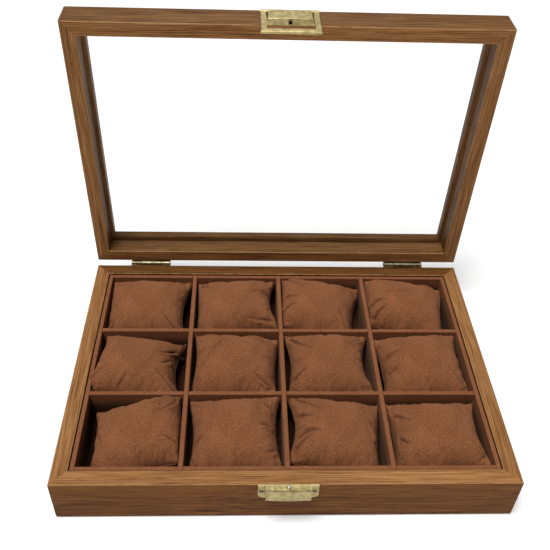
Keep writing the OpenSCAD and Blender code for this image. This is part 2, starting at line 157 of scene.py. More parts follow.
world = bpy.data.worlds.new("studio")
world.use_nodes = True
sky = world.node_tree
direction = sky.nodes.new("ShaderNodeTexCoord").outputs["Generated"]
height = sky.nodes.new("ShaderNodeSeparateXYZ")
fade = sky.nodes.new("ShaderNodeMapRange")
HORIZON_FADE = {"From Min": 0.02, "From Max": 0.16, "To Min": 1.0, "To Max": 0.02}
for label, value in HORIZON_FADE.items():
    fade.inputs[label].default_value = value
sky.nodes["Background"].inputs["Color"].default_value = (1.0, 1.0, 1.0, 1.0)
sky.links.new(direction, height.inputs[0])
sky.links.new(height.outputs["Z"], fade.inputs["Value"])
sky.links.new(fade.outputs["Result"], sky.nodes["Background"].inputs["Strength"])
scene.world = world
scene.view_settings.view_transform = "Standard"


# %% [markdown]
# ## A small helper for materials
#
# Every finish is a node tree. Building trees in code is wordy, so one helper
# adds a node, sets its choices, and either links or sets each input by name.
# A number that is the same all over a surface goes straight on the shader.

# %% Material helper
class Finish:
    """A material and short ways to add nodes to it."""

    def __init__(self, name, roughness=0.5, metallic=0.0, **shader):
        self.material = bpy.data.materials.new(name)
        self.material.use_nodes = True
        self.tree = self.material.node_tree
        self.shader = self.tree.nodes["Principled BSDF"]
        self.set(roughness=roughness, metallic=metallic, **shader)

    def set(self, **values):
        for key, value in values.items():
            label = key.replace("_", " ").title().replace("Ior", "IOR")
            self.put(self.shader.inputs[label], value)

    def put(self, socket, value):
        if isinstance(value, bpy.types.NodeSocket):
            self.tree.links.new(value, socket)
        elif socket.type == "RGBA" and len(value) == 3:
            socket.default_value = (*value, 1.0)
        else:
            socket.default_value = value

    def add(self, kind, inputs=(), **choices):
        node = self.tree.nodes.new("ShaderNode" + kind)
        for key, value in choices.items():
            setattr(node, key, value)
        for key, value in dict(inputs).items():
            self.put(node.inputs[key], value)
        return node

    def place(self, kind="Object"):
        return self.add("TexCoord").outputs[kind]

    def mapping(self, vector, scale=(1, 1, 1), turn=(0, 0, 0), shift=(0, 0, 0)):
        values = {"Vector": vector, "Scale": scale, "Rotation": turn, "Location": shift}
        return self.add("Mapping", values).outputs["Vector"]

    def cloud(self, vector, scale, detail=3.0, rough=0.55, warp=0.0):
        values = {"Vector": vector, "Scale": scale, "Detail": detail,
                  "Roughness": rough, "Distortion": warp}
        return self.add("TexNoise", values).outputs["Fac"]

    def sum(self, a, b, how="ADD", clamp=False):
        return self.add("Math", {0: a, 1: b}, operation=how, use_clamp=clamp).outputs[0]

    def span(self, value, low, high, to_low=0.0, to_high=1.0):
        values = {"Value": value, "From Min": low, "From Max": high,
                  "To Min": to_low, "To Max": to_high}
        return self.add("MapRange", values).outputs["Result"]

    def ramp(self, value, stops):
        node = self.add("ValToRGB", {"Fac": value})
        bar = node.color_ramp.elements
        while len(bar) < len(stops):
            bar.new(0.5)
        for element, (where, colour) in zip(bar, stops):
            element.position = where
            element.color = (*colour, 1.0)
        return node.outputs["Color"]

    def blend(self, factor, a, b, how="MIX"):
        node = self.add("Mix", data_type="RGBA", blend_type=how)
        self.put(node.inputs[0], factor)
        self.put(node.inputs[6], a)
        self.put(node.inputs[7], b)
        return node.outputs[2]

    def bump(self, height, depth, strength=1.0, normal=None):
        values = {"Height": height, "Distance": depth, "Strength": strength}
        if normal is not None:
            values["Normal"] = normal
        return self.add("Bump", values).outputs["Normal"]


floor_finish = Finish("floor_paper", roughness=0.9)
floor_mottle = floor_finish.cloud(floor_finish.place(), 3.0)
floor_finish.set(base_color=floor_finish.ramp(floor_mottle, [
    (0.3, (0.92, 0.92, 0.92)), (0.7, (0.96, 0.96, 0.96))]))
floor.data.materials.append(floor_finish.material)
print("floor:", floor_finish.material.name)


# %% [markdown]
# ## The wood-grain wrap
#
# The board is wrapped in a satin walnut print. Its grain runs along each rail
# and meets at the mitres, so it needs a finish for every direction. Straight
# grain is noise stretched far along the rail: broad bands, fine streaks, and
# short dark pores. The chamfered edges catch light, and their colour is painted
# paler, partly as rubbed wear and partly as a painted highlight; they are found
# by their slanting normal, so this stays put when the lid moves. The upright
# faces are darkened by their slant, a painted shade, and the rear board is
# darkened all over, a painted shade too.

# %% Wood-grain wrap
LID_OPEN = math.radians(88)
# Painted shade: the upright faces of base and lid are darkened in colour by these tones.
BASE_PAINTED_SIDE_SHADE = (0.60, 0.48, 0.24)
LID_PAINTED_SIDE_SHADE = (0.56, 0.56, 0.52)
# Painted shade: the whole rear board is darkened in colour by this tone.
REAR_PAINTED_SHADE = (0.50, 0.45, 0.36)
WAVER = 4 * MM


def walnut(name, along, painted_side_shade, tilt=0.0, shade=(1.0, 1.0, 1.0)):
    """Straight-grained walnut print.

    along is the grain's axis, 0 for X and 1 for Y. The side tone darkens the
    upright faces as a painted shade, tilt follows the lid, and the last tone
    darkens a whole board as a painted shade.
    """
    wood = Finish(name, specular_ior_level=0.06)
    flat = wood.mapping(wood.place(), turn=(tilt, 0, 0))
    quarter = (0, 0, math.pi / 2) if along else (0, 0, 0)
    grain = wood.mapping(flat, turn=quarter)
    drift = wood.cloud(wood.mapping(grain, scale=(5, 16, 16)), 1.0, 2.0)
    waver = wood.add("CombineXYZ", {"Y": wood.span(drift, 0, 1, -WAVER, WAVER)})
    wavy = wood.add("VectorMath", {0: grain, 1: waver.outputs[0]}, operation="ADD").outputs[0]
    bands = wood.cloud(wood.mapping(wavy, scale=(4, 120, 120)), 1.0, 2.0)
    streaks = wood.cloud(wood.mapping(wavy, scale=(24, 1300, 1300)), 1.0, 3.0, 0.75)
    fibres = wood.cloud(wood.mapping(wavy, scale=(60, 2400, 2400)), 1.0, 2.0)
    specks = wood.cloud(wood.mapping(wavy, scale=(90, 1500, 1500)), 1.0, 1.0)
    pores = wood.span(specks, 0.60, 0.72)
    tone = wood.sum(wood.sum(bands, 0.22, "MULTIPLY"), wood.sum(streaks, 0.78, "MULTIPLY"))
    colour = wood.ramp(tone, [
        (0.36, (0.085, 0.033, 0.011)),
        (0.45, (0.205, 0.088, 0.029)),
        (0.54, (0.300, 0.138, 0.047)),
        (0.64, (0.400, 0.205, 0.080)),
    ])
    colour = wood.blend(wood.sum(pores, 0.35, "MULTIPLY"), colour, (0.080, 0.031, 0.008))
    slant = wood.mapping(wood.place("Normal"), turn=(tilt, 0, 0))
    size = wood.add("VectorMath", {0: slant}, operation="ABSOLUTE").outputs[0]
    parts = wood.add("SeparateXYZ", {0: size})
    biggest = wood.sum(wood.sum(parts.outputs[0], parts.outputs[1], "MAXIMUM"),
                       parts.outputs[2], "MAXIMUM")
    # Painted shade: upright faces are darkened by how far their normal leans from straight up.
    painted_side_mask = wood.span(parts.outputs[2], 0.75, 0.35)
    # Painted shade: a whole board's colour is multiplied down by the given tone.
    colour = wood.blend(1.0, colour, shade, "MULTIPLY")
    colour = wood.blend(painted_side_mask, colour, painted_side_shade, "MULTIPLY")
    # Partly wear, partly painted highlight: the chamfered edges are painted paler in patches.
    edge = wood.span(biggest, 0.93, 0.80)
    rub_and_highlight = wood.span(wood.cloud(wavy, 160.0, 3.0), 0.35, 0.6, 0.25, 0.8)
    colour = wood.blend(wood.sum(edge, rub_and_highlight, "MULTIPLY"), colour, (0.42, 0.23, 0.10))
    relief = wood.sum(wood.sum(fibres, 0.5, "MULTIPLY"), pores, "SUBTRACT")
    wood.set(
        base_color=colour,
        roughness=wood.span(streaks, 0.3, 0.7, 0.52, 0.40),
        normal=wood.bump(relief, 0.06 * MM, 0.6),
    )
    return wood.material


walnut_base_x = walnut("walnut_base_across", 0, BASE_PAINTED_SIDE_SHADE)
walnut_base_y = walnut("walnut_base_deep", 1, BASE_PAINTED_SIDE_SHADE)
# Painted shade: the rear board gets a darkened copy of the base finish.
walnut_rear_painted_shade = walnut("walnut_base_rear_painted_shade", 0, BASE_PAINTED_SIDE_SHADE, shade=REAR_PAINTED_SHADE)
walnut_lid_x = walnut("walnut_lid_across", 0, LID_PAINTED_SIDE_SHADE, LID_OPEN)
walnut_lid_y = walnut("walnut_lid_deep", 1, LID_PAINTED_SIDE_SHADE, LID_OPEN)
print("wood finishes:", [m.name for m in bpy.data.materials if m.name.startswith("walnut")])


# %% [markdown]
# ## Suede cloth
#
# The tray boards are covered in a brown suede cloth, and the cushions in the
# same cloth. Suede is matt with a short nap: rubbed one way it is lighter, the
# other way darker. So the colour is cloudy over a centimetre or two and grainy
# at the size of the fibres, and a little sheen brightens it at a low angle.
# Down in the cells, and in the folds and on the underside of a cushion, the
# cloth is painted much darker as painted shade; the folds and the underside
# tell the finish so through a value stored on each point.

# %% Suede
TRAY_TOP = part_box("liner_left")[1].z
# Painted shade: the near-black that cells, folds and cushion undersides are darkened towards.
PAINTED_SHADE_DARK = (0.020, 0.007, 0.003)
SHADE_STARTS, SHADE_FULL = 5.5 * MM, 13.5 * MM
WEAVE_PITCH = 0.42 * MM


def suede(name, dark, light, place, nap, weave):
    """Suede cloth.

    dark and light are its two tones, and place is the coordinate it lies on.
    nap stretches its streaks, and weave is how much its ground shows.
    """
    cloth = Finish(name, roughness=0.95, specular_ior_level=0.12,
                   sheen_weight=0.08, sheen_roughness=0.4, sheen_tint=(0.9, 0.5, 0.3))
    where = cloth.place(place)
    rubbed = cloth.cloud(cloth.mapping(where, scale=(1.0, 0.55, 1.0)), 55.0, 3.0, 0.6, 0.6)
    streaks = cloth.cloud(cloth.mapping(where, scale=(1.0, nap, 1.0)), 900.0, 3.0, 0.7)
    grain = cloth.cloud(where, 2200.0, 2.0, 0.8)
    tone = cloth.sum(cloth.sum(rubbed, 0.22, "MULTIPLY"), cloth.sum(streaks, 0.5, "MULTIPLY"))
    tone = cloth.sum(tone, cloth.sum(grain, 0.28, "MULTIPLY"))
    colour = cloth.ramp(tone, [(0.38, dark), (0.62, light)])
    height = cloth.add("SeparateXYZ", {0: cloth.place()}).outputs[2]
    # Painted shade: the cloth darkens with depth below the tray top, down in the cells.
    deep = cloth.span(height, TRAY_TOP - SHADE_STARTS, TRAY_TOP - SHADE_FULL)
    if place == "UV":
        # Painted shade: folds and a cushion's underside are darkened by a value stored on each
        # point.
        painted_fold_shade = cloth.add("Attribute", attribute_name="painted_crease_shade").outputs["Fac"]
        colour = cloth.blend(cloth.sum(painted_fold_shade, 0.9, "MULTIPLY"), colour, PAINTED_SHADE_DARK)
    colour = cloth.blend(cloth.sum(deep, 0.93, "MULTIPLY"), colour, PAINTED_SHADE_DARK)
    split = cloth.add("SeparateXYZ", {0: where})
    threads = []
    for axis in (0, 1):
        turns = cloth.sum(split.outputs[axis], 2 * math.pi / WEAVE_PITCH, "MULTIPLY")
        threads.append(cloth.add("Math", {0: turns}, operation="SINE").outputs[0])
    ground = cloth.sum(cloth.sum(*threads), weave, "MULTIPLY")
    relief = cloth.sum(cloth.sum(streaks, grain), ground)
    cloth.set(base_color=colour, normal=cloth.bump(relief, 0.16 * MM, 0.8))
    return cloth.material


tray_suede = suede(
    "tray_suede", dark=(0.165, 0.056, 0.022), light=(0.245, 0.100, 0.045),
    place="Object", nap=0.6, weave=0.0)
cushion_suede = suede(
    "cushion_suede", dark=(0.150, 0.051, 0.018), light=(0.350, 0.138, 0.060),
    place="UV", nap=0.7, weave=0.4)
print("suede finishes:", tray_suede.name, cushion_suede.name)


# %% [markdown]
# ## Metal, glass, board and pad
#
# The hinges and the latch are plated in antique brass, cloudy with tarnish and
# finely brushed. The stud is nickel. The glass is clear and shows itself by
# reflection only, so it lets light through and mirrors more at a low angle.

# %% Metal, glass, board and pad
def plated(name, dark, light, rough, brush):
    """Brushed plate; brush is about how many fine lines there are to a metre."""
    metal = Finish(name, metallic=1.0)
    where = metal.place()
    tarnish = metal.cloud(where, 260.0, 4.0, 0.65, 0.4)
    lines = metal.cloud(metal.mapping(where, scale=(0.04, 1.0, 1.0)), brush, 2.0)
    tone = metal.sum(metal.sum(tarnish, 0.65, "MULTIPLY"), metal.sum(lines, 0.35, "MULTIPLY"))
    metal.set(
        base_color=metal.ramp(tone, [(0.38, dark), (0.58, light)]),
        roughness=metal.span(tone, 0.35, 0.65, rough + 0.14, rough),
        normal=metal.bump(lines, 0.02 * MM, 0.5),
    )
    return metal.material


antique_brass = plated(
    "antique_brass", (0.25, 0.195, 0.080), (0.46, 0.375, 0.175), 0.36, 4200.0)
hinge_brass = plated("hinge_brass", (0.10, 0.08, 0.04), (0.34, 0.29, 0.18), 0.38, 4600.0)
# Painted shade: screws and pins are made near black, standing in for the shade in their
# recesses.
brass_screw_painted_shade = plated("brass_screw_painted_shade", (0.05, 0.04, 0.018), (0.22, 0.18, 0.09), 0.38, 5200.0)
bright_nickel = plated(
    "bright_nickel", (0.55, 0.55, 0.54), (0.88, 0.88, 0.86), 0.30, 6000.0)


def clear_glass():
    glass = Finish("clear_glass")
    shine = glass.add("BsdfGlossy", {"Color": (0.96, 0.98, 0.98), "Roughness": 0.02})
    see = glass.add("BsdfTransparent", {"Color": (0.992, 0.998, 0.996)})
    share = glass.add("LayerWeight", {"Blend": 0.06}).outputs["Facing"]
    both = glass.add("MixShader", {0: share, 1: see.outputs[0], 2: shine.outputs[0]})
    output = glass.tree.nodes["Material Output"]
    glass.tree.links.new(both.outputs[0], output.inputs["Surface"])
    glass.tree.nodes.remove(glass.shader)
    return glass.material


def plain_board():
    board = Finish("bottom_board", roughness=0.8)
    where = board.place()
    chips = board.cloud(board.mapping(where, scale=(1, 3, 1)), 420.0, 4.0, 0.7)
    board.set(
        base_color=board.ramp(chips, [(0.35, (0.22, 0.13, 0.07)), (0.65, (0.42, 0.28, 0.16))]),
        normal=board.bump(chips, 0.1 * MM, 0.5),
    )
    return board.material


def flock():
    pad = Finish("pad_flock", roughness=1.0, specular_ior_level=0.1, sheen_weight=0.4)
    where = pad.place()
    fuzz = pad.cloud(where, 2600.0, 3.0, 0.7)
    pad.set(
        base_color=pad.ramp(fuzz, [
            (0.35, (0.010, 0.010, 0.011)), (0.65, (0.035, 0.034, 0.036))]),
        normal=pad.bump(fuzz, 0.2 * MM, 0.8),
    )
    return pad.material


glass_clear = clear_glass()
board_plain = plain_board()
pad_flock = flock()
print("metals:", [m.name for m in (antique_brass, hinge_brass, brass_screw_painted_shade, bright_nickel)])


# %% [markdown]
# ## Dress the solid parts
#
# Each solid keeps its shape and gets the finish of its own material. The two
# long rails of the base and lid carry grain across, the short ones front to
# back, and the lid's grain is turned with the lid.

# %% Finishes on the solids
def dress(finish, *names):
    for name in names:
        slots = frame["nodes"][name].data.materials
        slots.clear()
        slots.append(finish)


dress(walnut_base_x, "base_front_wall")
dress(walnut_rear_painted_shade, "base_rear_wall")
dress(walnut_base_y, "base_left_wall", "base_right_wall")
dress(walnut_lid_x, "lid_front_rail", "lid_rear_rail")
dress(walnut_lid_y, "lid_left_rail", "lid_right_rail")
dress(board_plain, "base_panel")
dress(pad_flock, "base_pad")
dress(glass_clear, "glass_pane")
boards = [n for n in frame["nodes"] if n.split("_")[0] in ("tray", "liner", "row", "column")]
dress(tray_suede, *boards)
dress(antique_brass, "latch_catch", "latch_plate", "latch_ring")
dress(hinge_brass, *[n for n in frame["nodes"] if n.startswith("hinge") and "leaf" in n])
dress(brass_screw_painted_shade, *[n for n in frame["nodes"] if n.endswith("_pin")])
dress(brass_screw_painted_shade, *[n for n in frame["nodes"] if n.endswith("_screws")])
dress(bright_nickel, "catch_stud")
print("suede boards:", len(boards))


# %% [markdown]
# ## Where each cushion lies
#
# Twelve small pillows are dropped into the cells by hand, so no two lie alike.
# How a cushion lies is a turn and a dip of its right side in degrees, how far
# each side is pulled in, and where a corner is moved, in millimetres. Its main
# folds are lines over the panel: where each starts and ends, in hundredths of
# the panel's width and depth from the front left, then the bow of the line and
# the depth of its valley in millimetres.

# %% How the cushions lie
LIES = {
    "cushion_rear_1": dict(
        turn=0, dip=0, sides=(0.5, 4.0), rear_left=(-1, 0, 0), front_right=(-4, 0, 0),
        folds=[(6, 2, 15, 25, 0, 1.2), (95, 5, 72, 30, 2, 1.4), (97, 95, 60, 84, 1, 0.8),
               (3, 90, 25, 70, 0, 0.6)]),
    "cushion_rear_2": dict(
        turn=1, dip=-1, sides=(1.5, 5.0), rear_left=(-1, 0, 0), rear_right=(-1, 0, 2),
        front_right=(1, 8, 3),
        folds=[(99, 62, 70, 50, -2, 1.8), (97, 90, 62, 97, 2, 1.2), (2, 93, 22, 66, 1, 1.0),
               (97, 10, 62, 13, 2, 1.4)]),
    "cushion_rear_3": dict(
        turn=-7, dip=5, sides=(2.0, 3.0), rear_left=(-2, 0, 0), front_left=(-2, 3, 4),
        front_right=(-6, 0, 0),
        folds=[(97, 82, 55, 78, 2, 1.0), (93, 6, 75, 40, 0, 1.4), (3, 12, 22, 32, 2, 2.2),
               (4, 95, 30, 62, -2, 1.0), (3, 50, 25, 42, 0, 1.0)]),
    "cushion_rear_4": dict(
        turn=-7, dip=5, sides=(1.5, 1.0), rear_left=(-2, 0, 0), front_left=(0, 5, 5),
        front_right=(-2, 0, 0),
        folds=[(3, 22, 24, 38, 3, 2.4), (10, 3, 26, 30, 1, 1.6), (50, 98, 95, 58, 5, 1.6),
               (60, 60, 20, 50, 0, 0.6)]),
    "cushion_middle_1": dict(
        turn=-2, dip=2, sides=(1.0, 6.5), rear_left=(3, 0, 0), rear_right=(-3, -3, -3),
        front_left=(-5, 1, 10),
        folds=[(99, 86, 72, 60, 3, 2.4), (95, 60, 78, 42, 1, 1.4), (2, 10, 22, 32, 1, 1.0),
               (98, 8, 72, 36, 0, 1.2), (35, 2, 45, 22, 0, 0.8)]),
    "cushion_middle_2": dict(
        turn=-3, dip=1, sides=(2.5, 2.0), rear_left=(0, 1, 2), front_right=(-1, 4, 3),
        folds=[(42, 98, 98, 60, 5, 1.7), (40, 80, 3, 18, -2, 1.5), (97, 8, 70, 26, 1, 1.6),
               (3, 93, 25, 84, 1, 0.7)]),
    "cushion_middle_3": dict(
        turn=0, dip=0, sides=(4.5, 6.0), rear_left=(0, 1, 2), rear_right=(0, 1, 1),
        front_right=(1, 4, 2),
        folds=[(98, 52, 68, 72, -2, 1.8), (98, 32, 75, 42, 1, 1.4), (3, 93, 32, 58, -3, 1.4),
               (2, 20, 22, 32, 1, 1.4), (97, 93, 78, 70, 1, 1.4)]),
    "cushion_middle_4": dict(
        turn=3, dip=-2, sides=(3.0, 2.0), front_left=(1, 0, 0),
        folds=[(2, 55, 26, 61, 1, 1.4), (2, 35, 22, 42, -1, 1.0), (97, 6, 78, 30, 0, 1.2),
               (95, 60, 78, 73, 1, 0.8)]),
    "cushion_front_1": dict(
        turn=9, dip=-5, sides=(1.0, 1.5), rear_left=(9, -4, -2), rear_right=(2, 0, 0),
        front_left=(1, 0, 0), front_right=(1, 2, 1),
        folds=[(99, 93, 60, 74, 2, 1.6), (98, 80, 70, 58, 1, 1.2), (98, 12, 76, 30, -1, 2.0),
               (4, 62, 16, 36, 0, 0.8)]),
    "cushion_front_2": dict(
        turn=1, dip=-2, sides=(3.5, 4.0), rear_right=(-1, 1, 2),
        folds=[(98, 72, 82, 81, 0, 1.4), (98, 50, 76, 47, -1, 1.8), (98, 25, 80, 18, 1, 1.2),
               (2, 35, 14, 43, 0, 1.4), (3, 93, 16, 78, 0, 0.8)]),
    "cushion_front_3": dict(
        turn=-5, dip=3, sides=(6.0, 1.5), rear_left=(-2, 0, 0), front_left=(0, 3, 5),
        front_right=(-2, 0, 0),
        folds=[(2, 25, 32, 34, 3, 2.6), (4, 8, 22, 32, 1, 1.8), (2, 62, 22, 55, 0, 1.4),
               (4, 95, 32, 63, -2, 1.4), (97, 40, 85, 62, 0, 1.2)]),
    "cushion_front_4": dict(
        turn=1, dip=-1, sides=(3.0, 3.0), rear_left=(0, -2, 0), rear_right=(-1, -4, 1),
        front_right=(0, 2, 5),
        folds=[(98, 12, 80, 32, 1, 2.4), (97, 24, 84, 42, 0, 1.2), (98, 62, 76, 73, 1, 1.6),
               (4, 75, 22, 58, 0, 1.0), (5, 42, 17, 28, 0, 1.2)]),
}
CORNERS = {
    "rear_left": (-1, 1), "rear_right": (1, 1),
    "front_right": (1, -1), "front_left": (-1, -1),
}
EAR_X, EAR_Y = 32.0 * MM, 28.0 * MM  # from the middle to a corner
EAR_LIFT = {"rear": 13.0 * MM, "front": 7.5 * MM}  # above half the thickness
EAR_TIP, EAR_TIP_REACH = 1.5 * MM, 5 * MM
END_PULL = 0.8 * MM
THICK = 36.5 * MM
SLACK = 0.5 * MM  # room left to the boards

wall_boxes = [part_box(n) for n in boards if n != "tray_floor"]
floor_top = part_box("tray_floor")[1].z


def cell_of(name):
    """The free space round a cushion, between the nearest faces of the boards."""
    low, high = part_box(name)
    heart = (low + high) / 2
    lows, highs = [-1.0, -1.0], [1.0, 1.0]
    for a, b in wall_boxes:
        for axis, other in ((0, 1), (1, 0)):
            if not a[other] < heart[other] < b[other]:
                continue
            if b[axis] < heart[axis]:
                lows[axis] = max(lows[axis], b[axis])
            if a[axis] > heart[axis]:
                highs[axis] = min(highs[axis], a[axis])
    return Vector(lows), Vector(highs)


def lie_matrix(lie):
    """Turns an upright cushion the way it lies."""
    turn, dip = math.radians(lie["turn"]), math.radians(lie["dip"])
    return Matrix.Rotation(turn, 3, "Z") @ Matrix.Rotation(dip, 3, "Y")


cell_low, cell_high = cell_of("cushion_front_1")
print("a cell in mm:", [round(v / MM, 1) for v in cell_high - cell_low])


# %% [markdown]
# ## Sew and stuff a cushion
#
# A pillow is two flat panels sewn round the edge and stuffed. It could be
# modelled as a dome, but the pulled-in sides and the pinched ears come from
# cloth that is held along a seam and pressed out by its filling. So two grids
# share one rim, the rim is pinned where it lies, and pressure swells the cloth.
# The solver likes things about a metre across, so it works twenty times too
# big. Last, the stuffed shape is brought to its thickness, made a little boxy
# below, and flattened on the floor and walls of its cell.

# %% Sewing and stuffing
NU, NV = 56, 50  # squares across and along a panel
GROWN = 20.0
FRAMES = 24
PANEL = (72 * MM, 62 * MM)
OTHER_SIDE = 100 * MM  # how far off the lower panel lies in the weave map
EASE = 2 * MM
BOXY, BOXY_DEPTH = 0.25, 8 * MM
UNDERSIDE_LIFT = 1.2 * MM


def panel_points(ears, sides, lift_of):
    """Points of both panels, the rim shared, and the faces that join them."""
    verts, index = [], {}

    def at(side, i, j):
        rim = i in (0, NU) or j in (0, NV)
        key = (0 if rim else side, i, j)
        if key not in index:
            s, t = i / NU, j / NV
            rear = ears["rear_left"].lerp(ears["rear_right"], s)
            front = ears["front_left"].lerp(ears["front_right"], s)
            index[key] = len(verts)
            waist = (1 - s) * sides[0] - s * sides[1]
            pull = Vector((waist * MM * math.sin(math.pi * t),
                           (1 - 2 * t) * math.sin(math.pi * s) * END_PULL, 0))
            from_ear = math.hypot(min(s, 1 - s) * PANEL[0], min(t, 1 - t) * PANEL[1])
            outward = Vector((math.copysign(1, s - 0.5), math.copysign(1, t - 0.5), 1.5))
            pull += outward * EAR_TIP * math.exp(-(from_ear / EAR_TIP_REACH) ** 2)
            verts.append(front.lerp(rear, t) + pull + lift_of(side, s, t))
        return index[key]

    faces = []
    for side in (1, -1):
        for i in range(NU):
            for j in range(NV):
                quad = [at(side, i + a, j + b) for a, b in ((0, 0), (1, 0), (1, 1), (0, 1))]
                faces.append(quad if side > 0 else quad[::-1])
    rim = [at(1, i, 0) for i in range(NU)] + [at(1, NU, j) for j in range(NV)]
    rim += [at(1, i, NV) for i in range(NU, 0, -1)] + [at(1, 0, j) for j in range(NV, 0, -1)]
    return verts, faces, rim


def lay_out_weave(mesh):
    """A UV map in metres of flat cloth, so that the weave follows the surface."""
    uv = mesh.uv_layers.new(name="weave")
    loop = 0
    for side in (0, 1):
        for i in range(NU):
            for j in range(NV):
                ring = [(i, j), (i + 1, j), (i + 1, j + 1), (i, j + 1)]
                for a, b in (ring if side == 0 else ring[::-1]):
                    across = a / NU * PANEL[0] + side * OTHER_SIDE
                    uv.data[loop].uv = (across, b / NV * PANEL[1])
                    loop += 1


def stuff(obj, rim_pins):
    """Swells the sewn panels with cloth simulation and returns the new points."""
    group = obj.vertex_groups.new(name="rim")
    group.add(rim_pins, 1.0, "REPLACE")
    cloth = obj.modifiers.new("stuffing", "CLOTH")
    s = cloth.settings
    s.quality = 6
    s.mass = 0.2
    s.tension_stiffness = s.compression_stiffness = 30
    s.shear_stiffness = 8
    s.bending_stiffness = 0.04
    s.tension_damping = s.compression_damping = 8
    s.use_pressure = True
    s.uniform_pressure_force = 9.0
    s.shrink_min = -0.07
    s.vertex_group_mass = "rim"
    s.effector_weights.gravity = 0.0
    cloth.point_cache.frame_start = 1
    cloth.point_cache.frame_end = FRAMES
    for f in range(1, FRAMES + 1):
        scene.frame_set(f)
    shape = obj.evaluated_get(bpy.context.evaluated_depsgraph_get()).to_mesh()
    points = np.empty(len(shape.vertices) * 3)
    shape.vertices.foreach_get("co", points)
    scene.frame_set(1)
    return points.reshape(-1, 3)


def soft_limit(value, low, high, ease):
    """Keeps value between low and high, easing in over the last stretch."""
    top, bottom = high - ease, low + ease
    value = np.where(value > top, top + ease * np.tanh((value - top) / ease), value)
    return np.where(value < bottom, bottom + ease * np.tanh((value - bottom) / ease), value)


def keep_in_cell(placed, low, high):
    """Flattens a cushion on the floor of its cell and against the walls."""
    placed[:, 2] = soft_limit(placed[:, 2], floor_top + SLACK, np.inf, EASE)
    inside = placed[:, 2] < TRAY_TOP + SLACK
    for axis in (0, 1):
        kept = soft_limit(placed[:, axis], low[axis] + SLACK, high[axis] - SLACK, EASE)
        placed[:, axis] = np.where(inside, kept, placed[:, axis])
    return placed


def shape_up(points, matrix, centre, low, high):
    """Brings a stuffed cushion to its thickness, and to rest in its cell."""
    turned = np.array(matrix)
    own = points @ turned
    rise = own[:, 2] - np.median(own[:, 2])
    for side in (1, -1):
        part = rise * side > 0
        top = np.percentile(rise[part] * side, 99.5)
        rise[part] *= THICK / 2 / top
    own[:, 2] = rise
    boxy = 1 - BOXY * np.clip(-rise / BOXY_DEPTH, 0, 1)
    for axis, reach in ((0, EAR_X), (1, EAR_Y)):
        share = np.clip(np.abs(own[:, axis]) / reach, 1e-6, 1)
        own[:, axis] *= share ** (boxy - 1)
    placed = own @ turned.T + np.array(centre)
    placed[:, 2] += floor_top + SLACK + UNDERSIDE_LIFT - np.percentile(placed[:, 2], 2)
    return keep_in_cell(placed, low, high)


def sewn_cushion(name):
    """A stuffed cushion lying in its cell, and its rim."""
    lie = LIES[name]
    low, high = cell_of(name)
    matrix = lie_matrix(lie)
    centre = Vector(((low.x + high.x) / 2, (low.y + high.y) / 2, floor_top + THICK / 2))
    ears = {}
    for corner, (sx, sy) in CORNERS.items():
        ears[corner] = matrix @ Vector((sx * EAR_X, sy * EAR_Y, 0)) + centre
        ears[corner] += Vector(lie.get(corner, (0, 0, 0))) * MM
        ears[corner].z += EAR_LIFT[corner.split("_")[0]]
    random.seed(name)
    seed = Vector([random.uniform(-50, 50) for _ in range(3)])

    def swell(side, s, t):
        hump = math.sin(math.pi * s) * math.sin(math.pi * t)
        h = 0.45 * THICK * hump ** (0.40 if side > 0 else 0.30)
        ripple = noise.noise(Vector((s * 5, t * 5, side)) + seed) * 1.2 * MM
        pucker = noise.noise(Vector((s * 9, t * 9, 0)) + seed) * 0.5 * MM
        return matrix @ Vector((0, 0, side * h + (side * ripple if hump > 0.02 else pucker)))

    verts, faces, rim = panel_points(ears, lie["sides"], swell)
    flat = np.array([v - centre for v in verts])
    obj = link_mesh("soft_" + name, flat * GROWN, faces, smooth=True)
    lay_out_weave(obj.data)
    points = stuff(obj, rim) / GROWN
    obj.modifiers.clear()
    obj.vertex_groups.clear()
    obj.data.vertices.foreach_set("co", shape_up(points, matrix, centre, low, high).ravel())
    obj.data.update()
    return obj, rim


# %% [markdown]
# ## Folds
#
# Where a cushion is pressed into its cell, the slack cloth folds: a sharp
# valley with a raised lip beside it, deepest by the seam and running out over
# the panel. A simulation fine enough to fold this small would take an hour, so
# the stuffed cushion is subdivided first, and each fold is then pressed in
# along the surface's own direction, with small wrinkles all over.

# %% Folds
FOLD_GAIN = 1.5
VALLEY_WIDTH = 0.9 * MM
LIP_AWAY, LIP_WIDTH = 2.2 * MM, 1.5 * MM
SMALL_WRINKLE, SEAM_WRINKLE = 0.35 * MM, 0.5 * MM
# Painted shade: how dark the fold valleys and the underside of a cushion are painted.
VALLEY_PAINTED_SHADE, UNDERSIDE_PAINTED_SHADE = 0.8, 0.6


def fine_mesh(obj):
    """Swaps a cushion's mesh for its subdivided one."""
    smooth = obj.modifiers.new("smooth", "SUBSURF")
    smooth.levels = smooth.render_levels = 1
    graph = bpy.context.evaluated_depsgraph_get()
    mesh = bpy.data.meshes.new_from_object(obj.evaluated_get(graph))
    obj.modifiers.clear()
    obj.data = mesh
    return mesh


def panel_places(mesh):
    """Where each point lies on its panel, across and along, and whether it is on top."""
    corner = np.empty(len(mesh.loops), dtype=int)
    mesh.loops.foreach_get("vertex_index", corner)
    uv = np.empty(len(mesh.loops) * 2)
    mesh.uv_layers[0].data.foreach_get("uv", uv)
    uv = uv.reshape(-1, 2)
    place = np.empty((len(mesh.vertices), 2))
    place[corner[::-1]] = uv[::-1]
    top = place[:, 0] < OTHER_SIDE
    place[:, 0] -= np.where(top, 0, OTHER_SIDE)
    return place / np.array(PANEL), top


